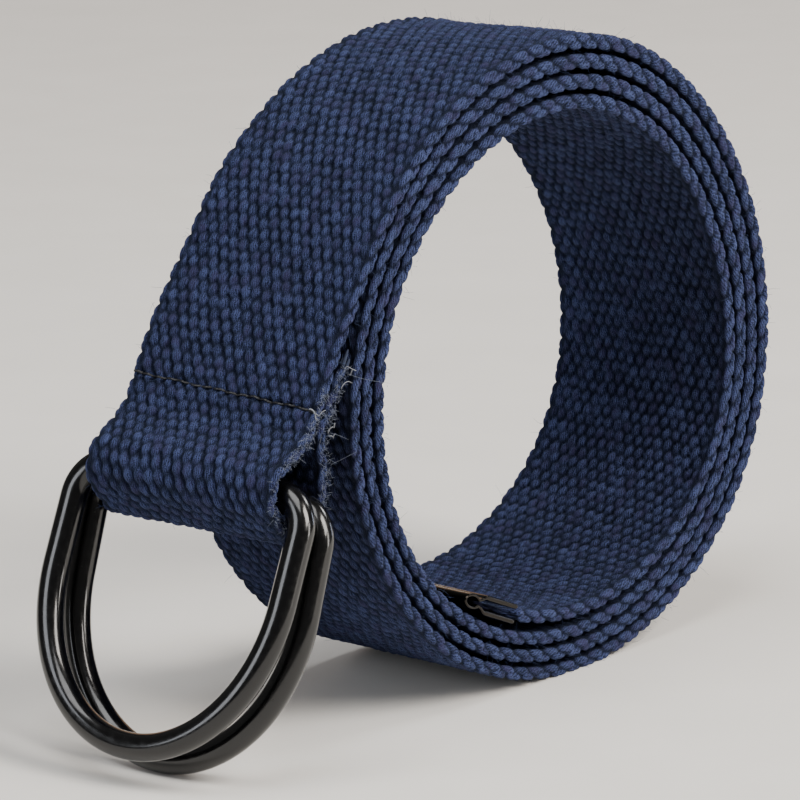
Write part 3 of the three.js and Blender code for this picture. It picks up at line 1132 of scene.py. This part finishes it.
@dataclass(frozen=True)
class CottonWebbing:
    """Dyed cotton webbing: matt, slightly hairy yarns, with painted shade dark between them.

    Steps and widths are millimetres on the webbing. A share says how much a pattern adds to the
    yarn's level, and a range which levels or heights a change runs between.
    """

    name: str = "navy cotton webbing, heavy plain weave"
    light: str = "394268"
    deep: str = "0b1029"
    plum: str = "30284a"
    # painted shade: the near-black navy that the hollows between yarns and knots are given
    crevice_shade: str = "02051a"
    roughness: float = 0.95
    specular: float = 0.12
    sheen: float = 0.12
    sheen_roughness: float = 0.5
    sheen_tint: str = "8fa3c8"
    fibre_across: float = 0.28
    fibre_along: float = 1.6
    fibre_slant: float = 0.16
    glint_speck: float = 0.16
    blotch: float = 4.0
    ply_step: float = 0.46
    ply_slant: float = 0.45
    band: float = 0.314
    tint_share: float = 0.13
    glint_speck_share: float = 0.9
    ply_share: float = 0.24
    light_range: tuple = (1.0, 1.28)
    light_most: float = 1.55
    plum_range: tuple = (0.47, 0.72)
    plum_most: float = 0.55
    crevice_shade_range: tuple = (-0.64, -0.09)
    bump_height: float = 0.00035

    def build(self) -> bpy.types.Material:
        """Yarn tone and painted shade in the crevices from the mesh's own fields, fibres as
        stretched noise.
        """
        material, tree = new_material(self.name)
        relief = add_node(tree, "Attribute", {"attribute_name": "relief"})
        tint = add_node(tree, "Attribute", {"attribute_name": "tint"})
        uv = add_node(tree, "UVMap", {"uv_map": "along"})
        flat = {"noise_dimensions": "2D"}
        # cotton fibres of 0.02 mm are too fine to show, so they are drawn about 0.28 mm apart
        stretch = add_node(
            tree, "Mapping", None, Vector=uv, Rotation=(0.0, 0.0, self.fibre_slant),
            Scale=(1 / self.fibre_across, 1 / self.fibre_along, 1.0),
        )
        fibres = add_node(
            tree, "TexNoise", flat, Vector=stretch, Scale=1.0, Detail=4.0, Roughness=0.7,
        )
        # specks are single fibres that catch the light, drawn 0.16 mm wide: a painted highlight in
        # the colour, and a bump as well
        glint_specks = add_node(tree, "TexNoise", flat, Vector=uv, Scale=1 / self.glint_speck, Detail=1.0)
        blotch = add_node(tree, "TexNoise", flat, Vector=uv, Scale=1 / self.blotch, Detail=3.0)
        # the twisted plies of a yarn, 0.46 mm apart: a wave's bands are 0.314 of its unit wide
        twist = add_node(
            tree, "Mapping", None, Vector=uv, Rotation=(0.0, 0.0, self.ply_slant),
            Scale=(self.band / self.ply_step,) * 3,
        )
        plies = add_node(
            tree, "TexWave", None, Vector=twist, Scale=1.0, Distortion=3.5, Detail=2.0,
            Detail_Scale=2.5,
        )
        level = fibres
        for source, share in (
            (tint.outputs["Fac"], self.tint_share),
            (glint_specks, self.glint_speck_share),
            (plies.outputs["Fac"], self.ply_share),
        ):
            level = add_node(
                tree, "Math", {"operation": "MULTIPLY_ADD"}, n0=source, n1=share, n2=level,
            )
        light = add_node(
            tree, "MapRange", None, Value=level, To_Max=self.light_most,
            From_Min=self.light_range[0], From_Max=self.light_range[1],
        )
        plum = add_node(
            tree, "MapRange", None, Value=blotch, To_Max=self.plum_most,
            From_Min=self.plum_range[0], From_Max=self.plum_range[1],
        )
        # painted shade: where the relief sinks below the crests, the yarn colour is mixed towards
        # the crevice shade
        unshaded_share = add_node(
            tree, "MapRange", {"interpolation_type": "SMOOTHSTEP"}, Value=relief.outputs["Fac"],
            From_Min=self.crevice_shade_range[0], From_Max=self.crevice_shade_range[1],
        )
        yarn = add_node(
            tree, "Mix", {"data_type": "RGBA", "clamp_factor": False},
            n0=light, n6=linear(self.deep), n7=linear(self.light),
        )
        worn = add_node(
            tree, "Mix", {"data_type": "RGBA"},
            n0=plum, n6=yarn.outputs[2], n7=linear(self.plum),
        )
        colour = add_node(
            tree, "Mix", {"data_type": "RGBA"},
            n0=unshaded_share, n6=linear(self.crevice_shade), n7=worn.outputs[2],
        )
        bump = add_node(
            tree, "Bump", None, Height=level, Strength=1.0, Distance=self.bump_height,
        )
        surface = add_node(
            tree, "BsdfPrincipled", None, Base_Color=colour.outputs[2], Normal=bump,
            Roughness=self.roughness, Specular_IOR_Level=self.specular, Sheen_Weight=self.sheen,
            Sheen_Roughness=self.sheen_roughness, Sheen_Tint=linear(self.sheen_tint),
        )
        add_node(tree, "OutputMaterial", None, Surface=surface)
        return material


@dataclass(frozen=True)
class BlackEnamel:
    """Baked black enamel on steel wire: a smooth, hard gloss with faint orange peel.

    Handling marks are about 1.1 mm apart and the orange peel 2.4 mm.
    """

    name: str = "baked black enamel on steel wire"
    colour: str = "040405"
    roughness: float = 0.17
    marks: float = 900.0
    peel: float = 420.0
    peel_height: float = 0.0001

    def build(self) -> bpy.types.Material:
        """Dark coat whose gloss is broken by fine handling marks."""
        material, tree = new_material(self.name)
        place = add_node(tree, "TexCoord").outputs["Object"]
        marks = add_node(
            tree, "TexNoise", None, Vector=place, Scale=self.marks, Detail=4.0, Roughness=0.6,
        )
        gloss = add_node(
            tree, "MapRange", None, Value=marks, From_Min=0.35, From_Max=0.75,
            To_Min=self.roughness * 0.8, To_Max=self.roughness * 1.7,
        )
        peel = add_node(tree, "TexNoise", None, Vector=place, Scale=self.peel, Detail=1.0)
        bump = add_node(
            tree, "Bump", None, Height=peel, Strength=0.12, Distance=self.peel_height,
        )
        surface = add_node(
            tree, "BsdfPrincipled", None, Base_Color=linear(self.colour), Roughness=gloss,
            Normal=bump, IOR=1.45, Coat_Weight=0.25, Coat_Roughness=0.06,
        )
        add_node(tree, "OutputMaterial", None, Surface=surface)
        return material


@dataclass(frozen=True)
class DarkNickel:
    """Polished dark nickel plate on a folded steel clip, a little warm, with fine rub marks.

    The marks are 3.3 mm long and 0.4 mm apart.
    """

    name: str = "dark nickel plate, polished"
    colour: str = "2c2926"
    roughness: float = 0.15
    marks: tuple = (300.0, 2500.0, 300.0)

    def build(self) -> bpy.types.Material:
        """Metal with rub marks along the belt."""
        material, tree = new_material(self.name)
        place = add_node(tree, "TexCoord").outputs["Object"]
        stretch = add_node(tree, "Mapping", None, Vector=place, Scale=self.marks)
        rub = add_node(tree, "TexNoise", None, Vector=stretch, Scale=1.0, Detail=3.0)
        gloss = add_node(
            tree, "MapRange", None, Value=rub, From_Min=0.3, From_Max=0.7,
            To_Min=self.roughness * 0.7, To_Max=self.roughness * 1.5,
        )
        surface = add_node(
            tree, "BsdfPrincipled", None, Base_Color=linear(self.colour), Roughness=gloss,
            Metallic=1.0,
        )
        add_node(tree, "OutputMaterial", None, Surface=surface)
        return material


@dataclass(frozen=True)
class Mottled:
    """Two close shades in fine noise, for spun thread, loose fibre and painted board.

    The scale is the noise's number of patches in a metre.
    """

    name: str
    colour: str
    second: str
    roughness: float
    scale: float = 2600.0
    detail: float = 2.0

    def build(self) -> bpy.types.Material:
        """Two shades mixed by the noise."""
        material, tree = new_material(self.name)
        place = add_node(tree, "TexCoord").outputs["Object"]
        noise = add_node(
            tree, "TexNoise", None, Vector=place, Scale=self.scale, Detail=self.detail,
        )
        colour = add_node(
            tree, "Mix", {"data_type": "RGBA"},
            n0=noise, n6=linear(self.colour), n7=linear(self.second),
        )
        surface = add_node(
            tree, "BsdfPrincipled", None, Base_Color=colour.outputs[2], Roughness=self.roughness,
        )
        add_node(tree, "OutputMaterial", None, Surface=surface)
        return material


# Tip


@dataclass(frozen=True)
class FoldedTip:
    """Clip of folded sheet: two plates on the webbing, pinched behind it, with an open bead."""

    mouth: tuple = (-19.388, 14.062)
    direction: float = TIP_DIRECTION
    width: float = BELT_WIDTH
    sheet: float = 0.9
    lip_share: float = 0.72
    bead_share: float = 0.6
    thinning: tuple = (-0.6, 1.2)
    half_height: float = 1.75
    plate_run: float = 8.8
    pinch_run: float = 1.6
    pinch_level: float = 0.62
    neck_extra: float = 0.3
    bead_turn: float = 152.0
    bead_length: float = 5.0
    bead_height: float = 3.0
    rounding: float = 0.34
    sections: int = 170

    def midline(self) -> np.ndarray:
        """Middle of the sheet, from the lower plate's lip round the bead to the upper lip."""
        level = self.half_height - self.sheet / 2
        end = self.plate_run + self.pinch_run + self.bead_length
        middle = end - self.bead_length / 2
        half_long = self.bead_length / 2 - self.sheet / 2
        half_high = self.bead_height / 2 - self.sheet / 2
        run = np.linspace(0.0, self.plate_run, 24)[:-1]
        lower = np.stack([run, np.full_like(run, -level)], axis=-1)
        share = np.linspace(0, 1, 16)[:-1]
        neck = np.stack([
            self.plate_run + (self.pinch_run + self.neck_extra) * share,
            -level + (level - self.pinch_level) * smooth(0.0, 1.0, share),
        ], axis=-1)
        turn = np.radians(np.linspace(-self.bead_turn, self.bead_turn, 60))
        bead = np.stack([middle + half_long * np.cos(turn), half_high * np.sin(turn)], axis=-1)
        mirror = np.array([1.0, -1.0])
        return np.concatenate([lower, neck, bead, neck[::-1] * mirror, lower[::-1] * mirror])

    def sheet_section(self) -> np.ndarray:
        """Sheet's section, across and through: a flat oblong with rounded corners, going round."""
        half, edge, bend = self.sheet / 2, self.width / 2, self.rounding
        quarter = np.radians(np.linspace(0, 90, 5))
        corner = np.stack([edge - bend + bend * np.sin(quarter),
                           half - bend + bend * np.cos(quarter)], axis=-1)
        run = np.linspace(-edge + bend, edge - bend, 20)[1:-1]
        top = np.stack([run, np.full_like(run, half)], axis=-1)
        return np.concatenate([
            top, corner, corner[::-1] * [1, -1], top[::-1] * [1, -1],
            corner * [-1, -1], corner[::-1] * [-1, 1],
        ])

    def build(self) -> bpy.types.Object:
        """Sheet carried along its middle line, thinner at the bead, both lips closed."""
        line = self.midline()
        length = run_lengths(line)
        line = points_at(np.linspace(0, length[-1], self.sections), length, line)
        normal = left_of(np.gradient(line, axis=0))
        ring = self.sheet_section()
        start, full = (self.plate_run + shift for shift in self.thinning)
        lip = 1 - (1 - self.bead_share) * smooth(start, full, line[:, 0])
        lip[[0, -1]] = self.lip_share
        flat = line[:, None, :] + normal[:, None, :] * (ring[None, :, 1] * lip[:, None])[..., None]
        across = np.broadcast_to(ring[None, :, 0], flat.shape[:2])
        turn = np.radians(self.direction)
        x = self.mouth[0] + flat[..., 0] * np.cos(turn) + flat[..., 1] * np.sin(turn)
        z = self.mouth[1] + flat[..., 0] * np.sin(turn) - flat[..., 1] * np.cos(turn)
        whole, faces = closed_skin(np.stack([x, across, z], axis=-1), backwards=False)
        return make_mesh("folded_belt_tip", whole, faces)

    def dress(self, item: bpy.types.Object, nickel: bpy.types.Material) -> None:
        """Give the tip its nickel and its body, and hide the CAD node that it stands for."""
        finish(item, nickel, "strap")
        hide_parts("belt_tip")


# Studio


def place_object(name: str, data: bpy.types.ID, axes: list[np.ndarray]) -> bpy.types.Object:
    """New linked object for a camera or a light.

    Args:
        name: Name of the object.
        data: Its camera or light.
        axes: Its right, up and backward directions and its place, in metres.

    Returns:
        The object.
    """
    item = bpy.data.objects.new(name, data)
    bpy.context.scene.collection.objects.link(item)
    item.matrix_world = Matrix([*np.stack(axes, axis=-1).tolist(), [0, 0, 0, 1]])
    return item


@dataclass(frozen=True)
class Studio:
    """Camera at the photograph's angle, pale floor and soft lights.

    A light row is its name, place and size in metres, power in watts and sRGB hex colour.
    """

    azimuth: float = -51.7492
    elevation: float = 13.8565
    roll: float = 0.4196
    distance: float = 919.68
    target: tuple = (-27.574, 0.0, 50.19)
    focal: float = 5424.74
    image: float = 800.0
    sensor: float = 36.0
    clip: tuple = (0.01, 20.0)
    floor_half: float = 2500.0
    floor_squares: int = 4
    aim: tuple = (-0.025, 0.0, 0.05)
    air: str = "e6e4e0"
    air_strength: float = 0.17
    lights: tuple = (
        ("key softbox", (0.19, -1.15, 1.1), (0.7, 0.9), 38.0, "fff9f2"),
        ("side softbox", (-1.4, 0.36, 0.72), (0.7, 0.9), 12.5, "f4f8ff"),
        ("low strip softbox", (0.42, -1.15, 0.3), (0.22, 0.5), 4.5, "fffaf4"),
        ("low side strip", (1.3, -0.46, 0.16), (0.12, 0.45), 1.6, "dfe8ff"),
        ("warm back card", (1.1, 0.86, 0.36), (1.1, 0.4), 1.7, "d8a880"),
        ("edge light", (1.05, -0.35, 0.9), (0.3, 0.3), 4.0, "ffffff"),
        ("top softbox", (-0.5, -0.1, 1.6), (0.9, 0.9), 16.0, "ffffff"),
    )

    def place_camera(self) -> None:
        """Camera looking back along the fitted direction, turned a little about its own axis."""
        a, e, r = np.radians([self.azimuth, self.elevation, self.roll])
        back = np.array([np.sin(a) * np.cos(e), -np.cos(a) * np.cos(e), np.sin(e)])
        right = np.array([np.cos(a), np.sin(a), 0.0])
        up = np.cross(back, right)
        right, up = right * np.cos(r) + up * np.sin(r), up * np.cos(r) - right * np.sin(r)
        eye = (np.array(self.target) + back * self.distance) * MM
        data = bpy.data.cameras.new("camera")
        data.lens = self.focal * self.sensor / self.image
        data.sensor_width = self.sensor
        data.clip_start, data.clip_end = self.clip
        bpy.context.scene.camera = place_object("camera", data, [right, up, back, eye])

    def add_floor(self) -> None:
        """Flat board from a grid of two parameters."""
        count = self.floor_squares + 1
        size = np.linspace(-self.floor_half, self.floor_half, count)
        x, y = np.meshgrid(size, size, indexing="ij")
        points = np.stack([x, y, np.zeros_like(x)], axis=-1).reshape(-1, 3)
        step = np.arange(self.floor_squares)
        rows = step[:, None] * count + step[None, :]
        faces = np.stack([rows, rows + count, rows + count + 1, rows + 1], axis=-1).reshape(-1, 4)
        floor = make_mesh("studio_floor", points, faces)
        # painted board: matt and pale, with a mottle of 25 mm that is barely seen
        board = Mottled("pale matt board", "d9d6d0", "e2dfda", 0.75, scale=40.0, detail=3.0)
        floor.data.materials.append(board.build())

    def add_light(self, name: str, place: tuple, size: tuple, power: float, colour: str) -> None:
        """Area light at a place in metres, aimed at the belt.

        Args:
            name: Name of the light.
            place: Where it stands, in metres.
            size: Width and height in metres.
            power: Watts.
            colour: sRGB hex value.
        """
        data = bpy.data.lights.new(name, "AREA")
        data.shape = "RECTANGLE"
        data.size, data.size_y = size
        data.energy = power
        data.color = linear(colour)[:3]
        back = unit(np.array(place) - np.array(self.aim))
        right = unit(np.cross([0.0, 0.0, 1.0], back))
        place_object(name, data, [right, np.cross(back, right), back, np.array(place)])

    def build(self) -> None:
        """Everything round the belt."""
        self.place_camera()
        self.add_floor()
        for row in self.lights:
            self.add_light(*row)
        world = bpy.data.worlds.new("studio air")
        world.use_nodes = True
        shade = world.node_tree.nodes["Background"]
        shade.inputs["Color"].default_value = linear(self.air)
        shade.inputs["Strength"].default_value = self.air_strength
        bpy.context.scene.world = world


def main() -> None:
    """Build the studio, the webbing, the rings and the tip, in that order."""
    logging.basicConfig(level=logging.INFO, format="%(message)s")
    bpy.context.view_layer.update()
    Studio().build()
    cotton = CottonWebbing().build()
    enamel = BlackEnamel().build()
    nickel = DarkNickel().build()
    webbing = Webbing(StrapPath(), Weave())
    pieces = []
    for spec in webbing.specs():
        pieces.append(webbing.build(spec))
        webbing.dress(pieces[-1], spec, cotton)
    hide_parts("webbing_strap")
    front_turns, back_turns = (0.0, 165.0), (-58.0, 0.0)
    rings = (
        WireRing("front_wire_ring", "ring_front", "ring_front_body", FRONT_BAR, 24.3, front_turns),
        WireRing("back_wire_ring", "ring_back", "ring_back_body", BACK_BAR, 18.9, back_turns),
    )
    trims = Trims(webbing, rings)
    # spun polyester: near black with a soft gloss, its fine twist drawn as two close shades
    thread = Mottled("black polyester sewing thread", "08080a", "191a1f", 0.35).build()
    # a thread's stiff tail shines in places, painted as a pale highlight on the dark thread, so
    # pale and dark alternate along it
    tail = Mottled("stiff thread end, catching the light", "8f949e", "3a3d46", 0.4).build()
    # loose cotton is dull and scatters light: fibres of dyed yarn, of broken yarn and at the cut
    fibre = Mottled("navy cotton fibre", "3c4c74", "232e4c", 0.9).build()
    pale = Mottled("pale broken cotton fibre", "868ea0", "343c50", 0.9).build()
    dark = Mottled("cut navy yarn end", "131a2b", "27324c", 0.95).build()
    for item, material in (
        (trims.seam_thread(), thread),
        (trims.thread_ends(), tail),
        (trims.frayed_end(), dark),
        (trims.blue_lint(), fibre),
        (trims.pale_lint(), pale),
        (trims.wisps(), pale),
    ):
        trims.dress(item, material)
    for ring in rings:
        ring.dress(ring.build(), enamel)
    tip = FoldedTip()
    tip.dress(tip.build(), nickel)


if __name__ == "__main__":
    main()
